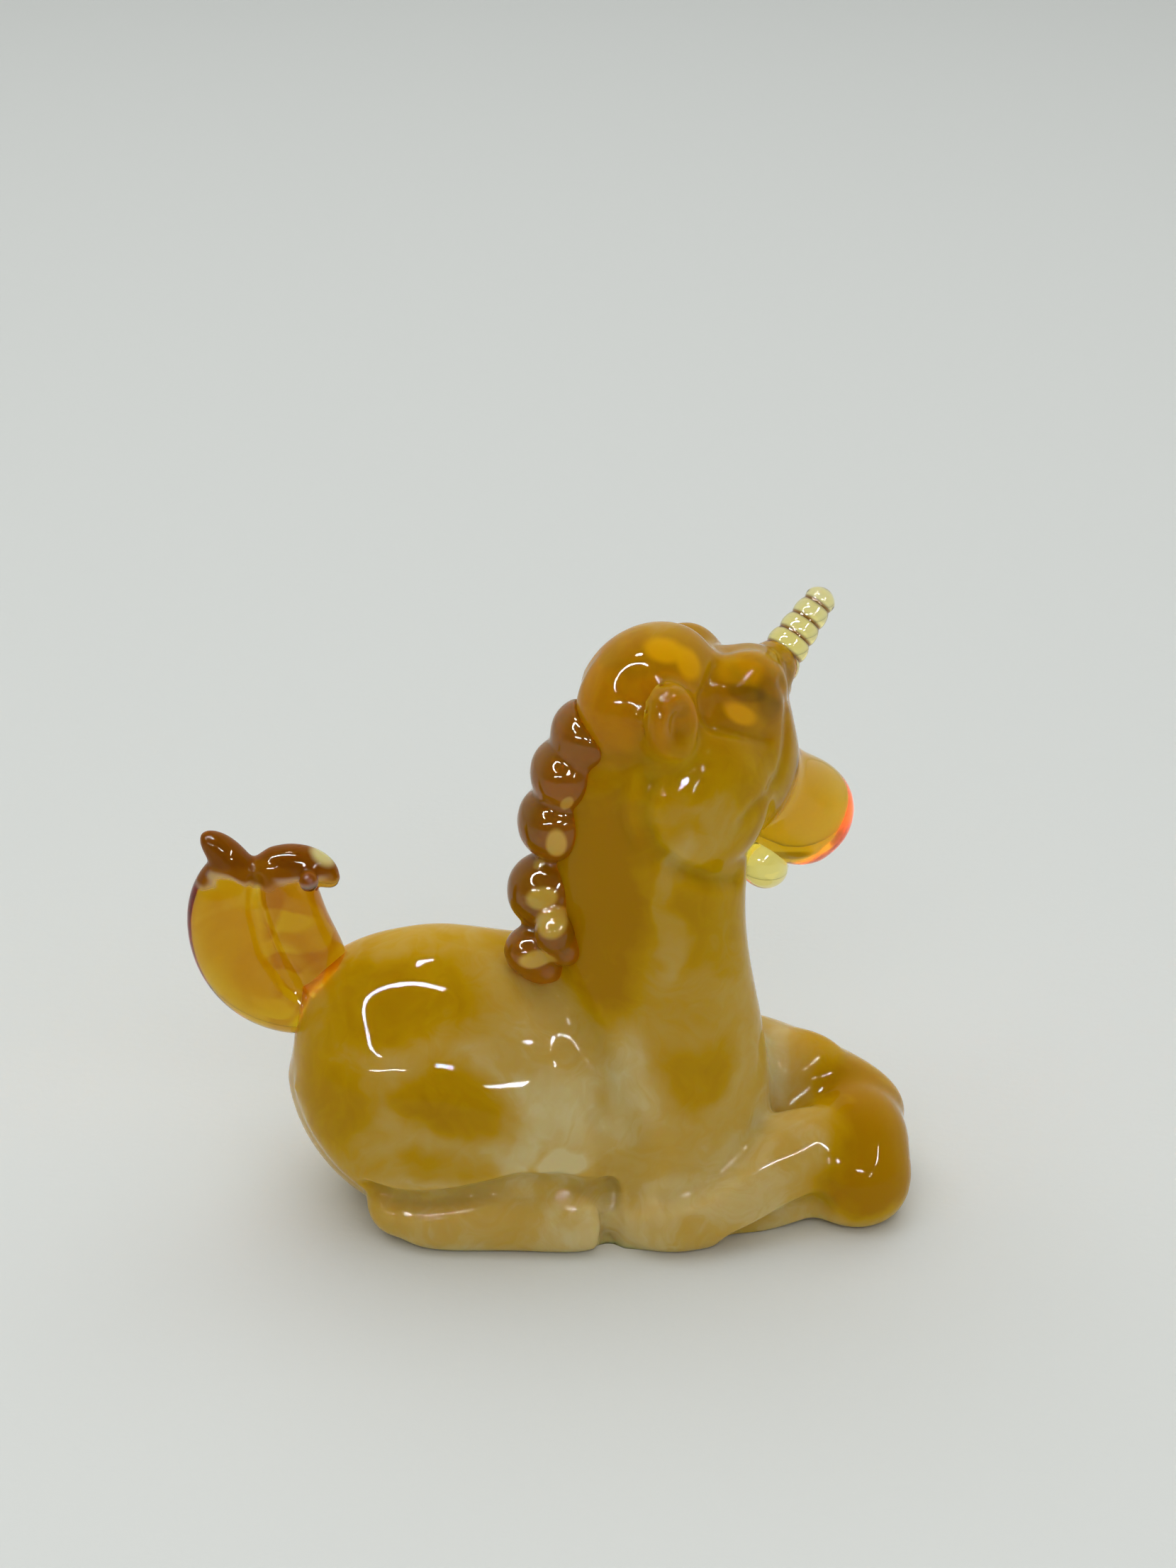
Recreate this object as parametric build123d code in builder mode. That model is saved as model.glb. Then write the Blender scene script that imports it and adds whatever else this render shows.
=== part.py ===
from build123d import *
import math
import os

# A pressed-glass unicorn lying down with its head turned to its left, in millimetres.
# X runs forward, Y to the animal's left and Z up, with the flat underside on Z = 0.
# Every form is a run of oval slices. A smaller form is cut by the larger ones it grows from.

# Trunk
torso_length = 49.5
torso_width = 26.0
torso_height = 33.0
rump_reach = 29.3
neck_height = 60.0
neck_width = 26.0
neck_depth = 26.0

# Legs
thigh_length = 36.5
thigh_width = 14.8
thigh_height = 25.0
hind_leg_length = 26.5
hind_leg_width = 9.2
hind_leg_height = 9.4
foreleg_length = 29.0
foreleg_width = 10.8
foreleg_height = 12.6
far_foreleg_length = 24.6
far_foreleg_width = 15.6
far_foreleg_height = 14.4
front_hoof_length = 12.6
front_hoof_width = 12.6
front_hoof_height = 13.0

# Head, in its own frame: X along the face, Y to the animal's left, Z out of the forehead
head_turn = 38.5
head_drop = 40.0
head_length = 23.5
head_width = 17.6
head_height = 20.4
cheek_width = 15.0
cheek_length = 19.4
muzzle_length = 22.0
muzzle_width = 12.2
muzzle_height = 12.2
beard_length = 6.4
beard_width = 4.6
beard_height = 5.0
eye_length = 11.0
eye_width = 6.4
eye_height = 9.8
ear_length = 12.2
ear_width = 7.6
ear_thickness = 4.6
forelock_length = 16.6
forelock_width = 13.4
forelock_height = 13.2
horn_length = 14.6
horn_width = 6.2
horn_tip_width = 3.6
horn_lean = 8.0
horn_groove_count = 4

# Mane: one size for each lock, from the poll down to the withers
mane_lock_sizes = (7.4, 7.0, 7.6, 8.4, 4.6, 6.4)
mane_lock_width = 8.4

# Tail
tail_sweep = 14.0
tail_height = 20.0
outer_lock_width = 10.0
inner_lock_width = 7.6
tail_lock_thickness = 7.4
outer_curl_width = 4.2
inner_curl_width = 4.0
curl_bead_width = 3.2

ground = Plane.XY
along_x = Vector(1, 0, 0)
leftward = Vector(0, 1, 0)
upward = Vector(0, 0, 1)

# A ball's slices: place along its run, then girth
ball_shares = ((-0.5, 0), (-0.44, 0.48), (-0.26, 0.85), (0, 1), (0.26, 0.85), (0.44, 0.48), (0.5, 0))


def oval_slice(place, along, across, wide, tall):
    """One oval slice, square to the way its form runs."""
    side = across - along * across.dot(along)
    with BuildSketch(Plane(origin=place, x_dir=side, z_dir=along)) as one:
        Ellipse(wide, tall)
    return one.sketch


def run_of_slices(frame, places, half_sizes, across):
    """The slices of one form in a frame, with a point where a slice has no size."""
    across = frame.from_local_coords(across) - frame.origin
    places = [frame.from_local_coords(place) for place in places]
    last = len(places) - 1
    slices = []
    for number, (place, (wide, tall)) in enumerate(zip(places, half_sizes)):
        along = (places[min(number + 1, last)] - places[max(number - 1, 0)]).normalized()
        if wide:
            slices.append(oval_slice(place, along, across, wide, tall))
        else:
            slices.append(Vertex(*place))
    return slices


def tapered(frame, seat, reach, girth, shares):
    """Slices from rows of shares: the centre's place in the reach, then half sizes in the girth."""
    places = [seat + Vector(x * reach[0], y * reach[1], z * reach[2]) for x, y, z, _, _ in shares]
    half_sizes = [(wide * girth[0] / 2, tall * girth[1] / 2) for _, _, _, wide, tall in shares]
    return run_of_slices(frame, places, half_sizes, leftward)


def ball(frame, centre, run, across, size):
    """The slices of a rounded knob: its size along the run, across it and the third way."""
    along = run.normalized()
    places = [centre + along * (share * size[0]) for share, _ in ball_shares]
    half_sizes = [(girth * size[1] / 2, girth * size[2] / 2) for _, girth in ball_shares]
    return run_of_slices(frame, places, half_sizes, across)


def across_body(place):
    """The same place on the other side of the animal."""
    return Vector(place.X, -place.Y, place.Z)


# Torso: a barrel from the rump to a flat end inside the breast
torso_shares = (
    (0, 0, 0, 0, 0),
    (0.02, 0, 0, 0.31, 0.3),
    (0.055, 0, 0, 0.57, 0.57),
    (0.115, 0, 0.01, 0.79, 0.79),
    (0.205, 0, 0.01, 0.94, 0.94),
    (0.33, 0, 0.005, 1, 1),
    (0.47, 0, -0.015, 0.97, 0.99),
    (0.61, 0, -0.025, 0.92, 0.96),
    (0.75, 0, -0.04, 0.84, 0.88),
    (0.87, 0, -0.07, 0.69, 0.7),
    (0.96, 0, -0.09, 0.42, 0.43),
)
rump = Vector(-rump_reach, 0, 0.46 * torso_height)
torso_reach = (torso_length, torso_width, torso_height)
with BuildPart() as torso:
    loft(tapered(Plane.XY, rump, torso_reach, (torso_width, torso_height), torso_shares))
    split(bisect_by=ground, keep=Keep.TOP)

# Head frame at the poll: the face runs forward and down, turned to the animal's left
chest_share = 0.795
neck_foot = Vector(chest_share * torso_length - rump_reach, 0, 0)
turn = math.radians(head_turn)
drop = math.radians(head_drop)
poll = Vector(neck_foot.X + 0.08 * neck_depth, 0.05 * neck_width, 0.975 * neck_height)
face_run = Vector(math.cos(turn) * math.cos(drop), math.sin(turn) * math.cos(drop), -math.sin(drop))
brow_way = Vector(math.cos(turn) * math.sin(drop), math.sin(turn) * math.sin(drop), math.cos(drop))
face = Plane(origin=poll, x_dir=face_run, z_dir=brow_way)

# Head: skull and cheeks in one rounded form
head_shares = (
    (-0.15, 0, 0, 0, 0),
    (-0.11, 0, 0, 0.38, 0.4),
    (0, 0, 0, 0.7, 0.72),
    (0.2, 0, -0.02, 0.93, 0.94),
    (0.38, 0, -0.06, 1, 1),
    (0.55, 0, -0.075, 0.93, 0.9),
    (0.7, 0, -0.05, 0.74, 0.68),
    (0.8, 0, -0.03, 0.45, 0.4),
    (0.85, 0, -0.02, 0, 0),
)
head_reach = (head_length, head_width, head_height)
with BuildPart() as head:
    loft(tapered(face, Vector(0, 0, 0), head_reach, (head_width, head_height), head_shares))

# Cheeks: the rounded jaw on each side of the head
cheek_size = (cheek_width, cheek_length, cheek_length)
right_cheek_centre = Vector(0.24 * head_length, -0.2 * head_width, -0.32 * head_height)
with BuildPart() as right_cheek:
    loft(ball(face, right_cheek_centre, leftward, along_x, cheek_size))
    add(head.part, mode=Mode.SUBTRACT)

with BuildPart() as left_cheek:
    loft(ball(face, across_body(right_cheek_centre), leftward, along_x, cheek_size))
    for larger in (head, right_cheek):
        add(larger.part, mode=Mode.SUBTRACT)

# Neck: a column that widens into the chest, its slices running upward into the head
neck_shares = (
    (-0.02, 0, -0.02, 0.94, 0.98),
    (0, 0, 0.1, 1, 1.02),
    (0.01, 0, 0.22, 0.98, 0.99),
    (0.01, 0, 0.33, 0.89, 0.92),
    (0, 0, 0.45, 0.78, 0.83),
    (-0.01, 0, 0.57, 0.7, 0.78),
    (-0.005, 0, 0.68, 0.66, 0.77),
    (0.01, 0, 0.8, 0.61, 0.75),
    (0.02, 0, 0.89, 0.54, 0.66),
    (0.05, 0, 0.95, 0.42, 0.5),
)
neck_reach = (neck_depth, neck_width, neck_height)
with BuildPart() as neck:
    loft(tapered(Plane.XY, neck_foot, neck_reach, (neck_width, neck_depth), neck_shares))
    split(bisect_by=ground, keep=Keep.TOP)
    for larger in (torso, head, right_cheek, left_cheek):
        add(larger.part, mode=Mode.SUBTRACT)

# Haunches: one rounded thigh on each side of the torso
thigh_shares = (
    (0, 0, 0.11, 0, 0),
    (0.03, -0.02, 0.1, 0.3, 0.32),
    (0.09, -0.05, 0.09, 0.56, 0.54),
    (0.2, -0.1, 0.06, 0.84, 0.8),
    (0.38, -0.13, 0, 1, 0.97),
    (0.58, -0.13, -0.07, 0.97, 0.85),
    (0.75, -0.15, -0.14, 0.88, 0.66),
    (0.89, -0.17, -0.18, 0.7, 0.5),
    (0.97, -0.18, -0.2, 0.4, 0.28),
    (1, -0.18, -0.2, 0, 0),
)
thigh_start = Vector(0.025 * torso_length - rump_reach, -0.22 * torso_width, 0.46 * torso_height)
thigh_reach = (thigh_length, thigh_width, thigh_height)
with BuildPart() as right_thigh:
    loft(tapered(Plane.XY, thigh_start, thigh_reach, (thigh_width, thigh_height), thigh_shares))
    split(bisect_by=ground, keep=Keep.TOP)
    for larger in (torso, neck):
        add(larger.part, mode=Mode.SUBTRACT)

with BuildPart() as left_thigh:
    mirror(right_thigh.part, about=Plane.XZ)

# Hind legs: folded along the ground beside the body, hoof forward
hind_leg_shares = (
    (0, 0, 0.04, 0, 0),
    (0.03, 0, 0.03, 0.36, 0.4),
    (0.09, 0, 0.01, 0.68, 0.7),
    (0.2, 0, 0, 0.9, 0.92),
    (0.42, 0, 0, 0.96, 0.97),
    (0.68, 0, 0, 1, 1),
    (0.86, 0, 0, 0.96, 0.94),
    (0.96, 0, 0, 0.62, 0.6),
    (1, 0, 0, 0, 0),
)
hock = Vector(0.21 * torso_length - rump_reach, -0.405 * torso_width, 0.4 * hind_leg_height)
hind_leg_reach = (hind_leg_length, hind_leg_width, hind_leg_height)
with BuildPart() as right_hind_leg:
    loft(tapered(Plane.XY, hock, hind_leg_reach, (hind_leg_width, hind_leg_height), hind_leg_shares))
    split(bisect_by=ground, keep=Keep.TOP)
    for larger in (torso, neck, right_thigh):
        add(larger.part, mode=Mode.SUBTRACT)

with BuildPart() as left_hind_leg:
    mirror(right_hind_leg.part, about=Plane.XZ)

# Near foreleg: folded flat, from the elbow on the ground to the front of the animal
foreleg_shares = (
    (0, 0, 0, 0, 0),
    (0.03, -0.02, 0, 0.46, 0.4),
    (0.09, -0.05, 0.01, 0.8, 0.7),
    (0.2, -0.06, 0.03, 1.04, 0.9),
    (0.38, 0.02, 0.08, 1.04, 0.97),
    (0.56, 0.18, 0.13, 0.96, 1),
    (0.73, 0.36, 0.17, 0.92, 1),
    (0.87, 0.5, 0.18, 0.84, 0.9),
    (0.96, 0.58, 0.17, 0.5, 0.52),
    (1, 0.62, 0.17, 0, 0),
)
elbow = Vector(0.705 * torso_length - rump_reach, -0.36 * torso_width, 0.33 * foreleg_height)
foreleg_reach = (foreleg_length, foreleg_width, foreleg_height)
with BuildPart() as right_foreleg:
    loft(tapered(Plane.XY, elbow, foreleg_reach, (foreleg_width, foreleg_height), foreleg_shares))
    split(bisect_by=ground, keep=Keep.TOP)
    for larger in (torso, neck, right_thigh, right_hind_leg):
        add(larger.part, mode=Mode.SUBTRACT)

# Far foreleg: its knee raised, sloping down to the hoof
far_foreleg_shares = (
    (0, 0, -0.03, 0.9, 0.9),
    (0.2, 0.01, 0, 0.99, 0.99),
    (0.4, 0, -0.04, 0.93, 0.93),
    (0.58, -0.05, -0.14, 0.88, 0.89),
    (0.75, -0.14, -0.22, 0.82, 0.83),
    (0.88, -0.23, -0.3, 0.7, 0.72),
    (0.97, -0.29, -0.37, 0.38, 0.4),
    (1, -0.31, -0.39, 0, 0),
)
shoulder = Vector(neck_foot.X + 0.16 * neck_depth, 0.26 * neck_width, 0.72 * far_foreleg_height)
far_foreleg_reach = (far_foreleg_length, far_foreleg_width, far_foreleg_height)
far_foreleg_girth = (far_foreleg_width, far_foreleg_height)
with BuildPart() as left_foreleg:
    loft(tapered(Plane.XY, shoulder, far_foreleg_reach, far_foreleg_girth, far_foreleg_shares))
    split(bisect_by=ground, keep=Keep.TOP)
    for larger in (torso, neck, right_foreleg):
        add(larger.part, mode=Mode.SUBTRACT)

# Front hoof: the rounded end where both forelegs meet the ground
hoof_centre = elbow + Vector(
    0.955 * foreleg_length,
    0.43 * foreleg_width,
    0.36 * front_hoof_height - 0.33 * foreleg_height,
)
hoof_size = (front_hoof_length, front_hoof_width, front_hoof_height)
with BuildPart() as front_hoof:
    loft(ball(Plane.XY, hoof_centre, along_x, leftward, hoof_size))
    split(bisect_by=ground, keep=Keep.TOP)
    for larger in (torso, neck, right_foreleg, left_foreleg):
        add(larger.part, mode=Mode.SUBTRACT)

# Muzzle: a soft rounded nose in front of the cheeks
muzzle_shares = (
    (0, 0, 0, 0.6, 0.6),
    (0.35, 0, -0.02, 0.78, 0.8),
    (0.6, 0, -0.08, 0.93, 0.93),
    (0.77, 0, -0.1, 1, 1),
    (0.9, 0, -0.11, 0.85, 0.85),
    (0.97, 0, -0.12, 0.5, 0.5),
    (1, 0, -0.12, 0, 0),
)
muzzle_start = Vector(0.41 * head_length, 0, 0)
muzzle_reach = (muzzle_length, muzzle_width, muzzle_height)
with BuildPart() as muzzle:
    loft(tapered(face, muzzle_start, muzzle_reach, (muzzle_width, muzzle_height), muzzle_shares))
    for larger in (head, right_cheek, left_cheek):
        add(larger.part, mode=Mode.SUBTRACT)

# Forelock: the broad lock that covers the poll between the ears
forelock_centre = Vector(-0.17 * head_length, 0, 0)
forelock_run = Vector(0.4, 0, 1)
forelock_size = (forelock_length, forelock_width, forelock_height)
with BuildPart() as forelock:
    loft(ball(face, forelock_centre, forelock_run, leftward, forelock_size))
    for larger in (neck, head, right_cheek, left_cheek):
        add(larger.part, mode=Mode.SUBTRACT)

# Ears: leaf forms laid back along the sides of the poll
ear_way = Vector(0.78, 0, -0.61)
ear_size = (ear_thickness, ear_length, ear_width)
right_ear_centre = Vector(-0.26 * head_length, -0.34 * head_width, -0.1 * head_height)
with BuildPart() as right_ear:
    loft(ball(face, right_ear_centre, leftward, ear_way, ear_size))
    for larger in (neck, head, right_cheek, forelock):
        add(larger.part, mode=Mode.SUBTRACT)

left_ear_centre = across_body(right_ear_centre) + Vector(0.19 * head_length, 0, 0)
with BuildPart() as left_ear:
    loft(ball(face, left_ear_centre, leftward, ear_way, ear_size))
    for larger in (neck, head, left_cheek, forelock):
        add(larger.part, mode=Mode.SUBTRACT)

# Eyes: closed rounded lids that stand out from the sides of the brow
eye_size = (eye_width, eye_length, eye_height)
right_eye_centre = Vector(0.17 * head_length, -0.29 * head_width, 0.25 * head_height)
with BuildPart() as right_eye:
    loft(ball(face, right_eye_centre, leftward, along_x, eye_size))
    for larger in (head, forelock):
        add(larger.part, mode=Mode.SUBTRACT)

with BuildPart() as left_eye:
    loft(ball(face, across_body(right_eye_centre), leftward, along_x, eye_size))
    for larger in (head, forelock):
        add(larger.part, mode=Mode.SUBTRACT)

# Horn: a taper with sloping grooves, as a twisted horn shows from the side
groove_share = 0.82
groove_slope_share = 0.32
horn_oval_share = 0.92
horn_end_share = 0.93
horn_tip_shares = ((0.97, 0.62), (1, 0))
horn_foot = Vector(0.44 * head_length, 0, 0.28 * head_height)
lean = math.radians(horn_lean)
horn_run = Vector(math.sin(lean), 0, math.cos(lean))
groove_facing = Vector(0, -groove_slope_share, 1).normalized()
horn_girths = []
for number in range(2 * horn_groove_count + 1):
    share = horn_end_share * number / (2 * horn_groove_count)
    girth = horn_width + (horn_tip_width - horn_width) * share
    horn_girths.append((share, girth * groove_share if number % 2 else girth))
for share, tip_girth in horn_tip_shares:
    horn_girths.append((share, tip_girth * horn_tip_width))
groove_way = face.from_local_coords(groove_facing) - face.origin
horn_side = face.from_local_coords(leftward) - face.origin
horn_slices = []
for share, girth in horn_girths:
    place = face.from_local_coords(horn_foot + horn_run * (share * horn_length))
    if girth:
        half_width = girth / 2
        horn_slices.append(
            oval_slice(place, groove_way, horn_side, half_width, half_width * horn_oval_share)
        )
    else:
        horn_slices.append(Vertex(*place))
with BuildPart() as horn:
    loft(horn_slices)
    add(head.part, mode=Mode.SUBTRACT)

# Beard: a small tuft under the chin
beard_centre = muzzle_start + Vector(0.72 * muzzle_length, 0, -0.7 * muzzle_height)
with BuildPart() as beard:
    loft(ball(face, beard_centre, upward, leftward, (beard_height, beard_width, beard_length)))
    for larger in (neck, head, muzzle):
        add(larger.part, mode=Mode.SUBTRACT)

# Mane: a chain of knobs down the back of the neck, each shaped by the one above it.
# A row gives the place in the neck's depth and width, then in the rise from the withers to the poll.
mane_place_shares = (
    (-0.25, -0.07, 0.887),
    (-0.335, -0.07, 0.738),
    (-0.375, -0.07, 0.545),
    (-0.42, -0.08, 0.27),
    (-0.34, -0.15, 0.105),
    (-0.44, -0.07, 0),
)
withers_height = 0.93 * torso_height
mane_rise = neck_height - withers_height
mane_locks = []
for size, (back_share, side_share, high_share) in zip(mane_lock_sizes, mane_place_shares):
    centre = neck_foot + Vector(
        back_share * neck_depth,
        side_share * neck_width,
        withers_height + high_share * mane_rise,
    )
    with BuildPart() as mane_lock:
        loft(ball(Plane.XY, centre, along_x, leftward, (size, mane_lock_width, size)))
        for larger in (torso, neck, head, left_cheek, forelock, left_ear, *mane_locks[-2:]):
            add(larger.part, mode=Mode.SUBTRACT)
    mane_locks.append(mane_lock)

# Tail: two broad locks that rise from the rump, each ending in a curl
tail_foot = Vector(0.06 * torso_length - rump_reach, 0, 0.714 * torso_height)
tail_reach = (tail_sweep, tail_lock_thickness, tail_height)
outer_lock_shares = (
    (0.18, 0, 0, 0.7, 0.64),
    (-0.1, 0, 0.02, 0.8, 0.78),
    (-0.34, 0, 0.1, 0.95, 0.9),
    (-0.53, 0, 0.27, 1, 0.98),
    (-0.61, 0, 0.48, 0.97, 0.97),
    (-0.61, 0, 0.68, 0.82, 0.84),
    (-0.57, 0, 0.83, 0.6, 0.58),
    (-0.55, 0, 0.9, 0, 0),
)
outer_lock_girth = (tail_lock_thickness, outer_lock_width)
with BuildPart() as tail_lock_outer:
    loft(tapered(Plane.XY, tail_foot, tail_reach, outer_lock_girth, outer_lock_shares))
    add(torso.part, mode=Mode.SUBTRACT)

inner_lock_shares = (
    (0.22, 0, 0.06, 0.7, 0.62),
    (0.06, 0, 0.22, 0.84, 0.82),
    (-0.07, 0, 0.43, 0.92, 0.88),
    (-0.16, 0, 0.64, 0.86, 0.86),
    (-0.22, 0, 0.8, 0.7, 0.74),
    (-0.27, 0, 0.9, 0.44, 0.44),
    (-0.29, 0, 0.95, 0, 0),
)
inner_lock_girth = (tail_lock_thickness, inner_lock_width)
with BuildPart() as tail_lock_inner:
    loft(tapered(Plane.XY, tail_foot, tail_reach, inner_lock_girth, inner_lock_shares))
    for larger in (torso, tail_lock_outer):
        add(larger.part, mode=Mode.SUBTRACT)

outer_curl_shares = (
    (-0.5, 0, 0.7, 0.9, 0.9),
    (-0.55, 0, 0.81, 1, 1),
    (-0.64, 0, 0.91, 0.9, 0.88),
    (-0.72, 0, 0.98, 0.68, 0.66),
    (-0.78, 0, 1.02, 0.4, 0.38),
    (-0.8, 0, 1.04, 0, 0),
)
outer_curl_girth = (outer_curl_width, outer_curl_width)
with BuildPart() as tail_curl_outer:
    loft(tapered(Plane.XY, tail_foot, tail_reach, outer_curl_girth, outer_curl_shares))
    for larger in (tail_lock_outer, tail_lock_inner):
        add(larger.part, mode=Mode.SUBTRACT)

inner_curl_shares = (
    (-0.36, 0, 0.74, 0.9, 0.9),
    (-0.3, 0, 0.82, 1, 1),
    (-0.15, 0, 0.865, 1, 0.96),
    (0.01, 0, 0.85, 0.92, 0.9),
    (0.12, 0, 0.8, 0.76, 0.76),
    (0.17, 0, 0.75, 0.5, 0.5),
    (0.19, 0, 0.72, 0, 0),
)
inner_curl_girth = (inner_curl_width, inner_curl_width)
with BuildPart() as tail_curl_inner:
    loft(tapered(Plane.XY, tail_foot, tail_reach, inner_curl_girth, inner_curl_shares))
    for larger in (tail_lock_outer, tail_lock_inner, tail_curl_outer):
        add(larger.part, mode=Mode.SUBTRACT)

bead_centre = tail_foot + Vector(-0.05 * tail_sweep, -0.22 * tail_lock_thickness, 0.76 * tail_height)
with BuildPart() as tail_curl_bead:
    loft(ball(Plane.XY, bead_centre, leftward, upward, (curl_bead_width, curl_bead_width, curl_bead_width)))
    for larger in (tail_lock_inner, tail_curl_inner):
        add(larger.part, mode=Mode.SUBTRACT)

pieces = {
    "torso": torso,
    "neck": neck,
    "right_thigh": right_thigh,
    "left_thigh": left_thigh,
    "right_hind_leg": right_hind_leg,
    "left_hind_leg": left_hind_leg,
    "right_foreleg": right_foreleg,
    "left_foreleg": left_foreleg,
    "front_hoof": front_hoof,
    "head": head,
    "right_cheek": right_cheek,
    "left_cheek": left_cheek,
    "muzzle": muzzle,
    "forelock": forelock,
    "right_ear": right_ear,
    "left_ear": left_ear,
    "right_eye": right_eye,
    "left_eye": left_eye,
    "horn": horn,
    "beard": beard,
    "tail_lock_outer": tail_lock_outer,
    "tail_lock_inner": tail_lock_inner,
    "tail_curl_outer": tail_curl_outer,
    "tail_curl_inner": tail_curl_inner,
    "tail_curl_bead": tail_curl_bead,
}
for number, mane_lock in enumerate(mane_locks, 1):
    pieces[f"mane_lock_{number}"] = mane_lock

os.makedirs("parts", exist_ok=True)
for name, piece in pieces.items():
    piece.part.label = name
    export_step(piece.part, f"parts/{name}.step")
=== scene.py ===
import math

import bmesh
import bpy
from bpy.props import FloatProperty, FloatVectorProperty, IntProperty, PointerProperty
from mathutils import Matrix, Vector
from mathutils.bvhtree import BVHTree
from mathutils.geometry import intersect_point_line


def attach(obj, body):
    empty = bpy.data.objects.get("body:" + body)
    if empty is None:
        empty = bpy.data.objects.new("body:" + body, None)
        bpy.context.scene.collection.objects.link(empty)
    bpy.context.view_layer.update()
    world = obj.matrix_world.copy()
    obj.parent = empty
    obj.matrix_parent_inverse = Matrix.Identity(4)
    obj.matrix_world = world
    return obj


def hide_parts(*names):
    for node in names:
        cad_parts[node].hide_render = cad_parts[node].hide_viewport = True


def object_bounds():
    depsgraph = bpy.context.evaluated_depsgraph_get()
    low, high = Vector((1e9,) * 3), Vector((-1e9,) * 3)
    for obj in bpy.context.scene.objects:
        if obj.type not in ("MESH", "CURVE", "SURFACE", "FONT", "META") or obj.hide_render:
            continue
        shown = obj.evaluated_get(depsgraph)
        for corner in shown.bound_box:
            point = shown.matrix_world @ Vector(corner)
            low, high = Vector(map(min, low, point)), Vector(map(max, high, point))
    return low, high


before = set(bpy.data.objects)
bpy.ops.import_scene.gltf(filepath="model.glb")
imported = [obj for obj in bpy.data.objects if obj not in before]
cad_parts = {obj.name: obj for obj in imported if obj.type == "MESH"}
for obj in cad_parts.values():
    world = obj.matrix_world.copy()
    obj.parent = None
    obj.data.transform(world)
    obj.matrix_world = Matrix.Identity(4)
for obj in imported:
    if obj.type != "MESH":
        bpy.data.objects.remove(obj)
cad_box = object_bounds()

bl_info = {
    "name": "Glass Unicorn",
    "version": (1, 0, 0),
    "blender": (4, 5, 0),
    "location": "View3D > Sidebar > Glass Unicorn",
    "description": "Dresses a pressed unicorn figurine in swirled and clear amber glass",
    "category": "Add Mesh",
}

MM = 0.001
BODY = "root"

# The forms that each piece is made of
CASTING_NODES = (
    "torso", "neck", "right_thigh", "left_thigh", "right_hind_leg", "left_hind_leg",
    "right_foreleg", "left_foreleg", "front_hoof", "head", "right_cheek", "left_cheek",
    "forelock", "right_ear", "left_ear", "right_eye", "left_eye", "muzzle",
)
MANE_NODES = ("mane_lock_1", "mane_lock_2", "mane_lock_3", "mane_lock_4", "mane_lock_5", "mane_lock_6")
TAIL_NODES = ("tail_lock_outer", "tail_lock_inner", "tail_curl_outer", "tail_curl_inner")
BEAD_NODE = "tail_curl_bead"

# How much each form is grown before all are fused, in millimetres
CASTING_SWELLS = {"neck": 0.75, "torso": 0.4, "right_ear": -1.3, "left_ear": -1.3}
CASTING_SWELL = 0.1
MANE_SWELLS = (0.3, 0.45, 0.5, 0.1, 0.3, 0.3)
TAIL_SWELL = 0.12
BEARD_SWELL = 0.2

# How near two corners of a copied mesh are joined into one, and how far one round of softening goes
WELD = 0.01 * MM
SOFTENING = 0.9

# The cells that the clear pieces are fused at, and their rounds of softening
MANE_GRAIN = 0.26 * MM
TAIL_GRAIN = 0.2 * MM
BEARD_GRAIN = 0.26 * MM
MANE_ROUNDS = 12
TAIL_ROUNDS = 12
BEARD_ROUNDS = 8
GROOVE_ROUNDS = 2

# Lumps that fill out the pieces, in millimetres: centre, then size. The hock has a twin at -Y.
TAIL_BEAD = ((-26.1, -3.0, 40.0), (2.3, 2.3, 2.5))
TAIL_FOOT = ((-25.0, 0, 25.0), (9, 7, 9))
HOCK = ((-16.6, 9.4, 4.1), (8.2, 8.4, 8.0))
CASTING_FILLS = (
    ((20.6, 5.0, 60.9), (8.0, 8.0, 6.4)),
    ((23.2, 9.2, 59.6), (6.2, 6.2, 6.6)),
    ((33.4, -1.6, 6.6), (12.4, 16.0, 13.2)),
    ((25.6, 5.0, 13.0), (15.0, 9.0, 8.4)),
)
MANE_FILLS = (((-2.6, -4.2, 32.4), (5.8, 6, 5.6)), ((0, -7, 36), (4.4, 4.4, 4.8)))

# The head turns about the poll, so its two sides mirror each other across this plane
POLL = Vector((12.13, 1.3, 58.5)) * MM
HEAD_TURN = math.radians(38.5)
HEAD_SIDE = Vector((-math.sin(HEAD_TURN), math.cos(HEAD_TURN), 0))

# The horn's axis, from inside the brow to the tip, its sizes, and where its flare ends and its tip rounds off
HORN_FOOT = Vector((21.0, 8.52, 56.23)) * MM
HORN_TIP = Vector((29.55, 15.3, 66.2)) * MM
HORN_RADIUS = 3.05 * MM
HORN_TIP_RADIUS = 1.6 * MM
HORN_FLARE = 1.3 * MM
HORN_FLARE_END = 0.5
HORN_ROUND_START = 0.9
HORN_BANDS = 7
HORN_GROOVE_SHARE = 0.16
HORN_GROOVE_POWER = 0.6
HORN_SIDES = 56
HORN_RINGS = 110
HORN_WELD = 0.02 * MM

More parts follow.
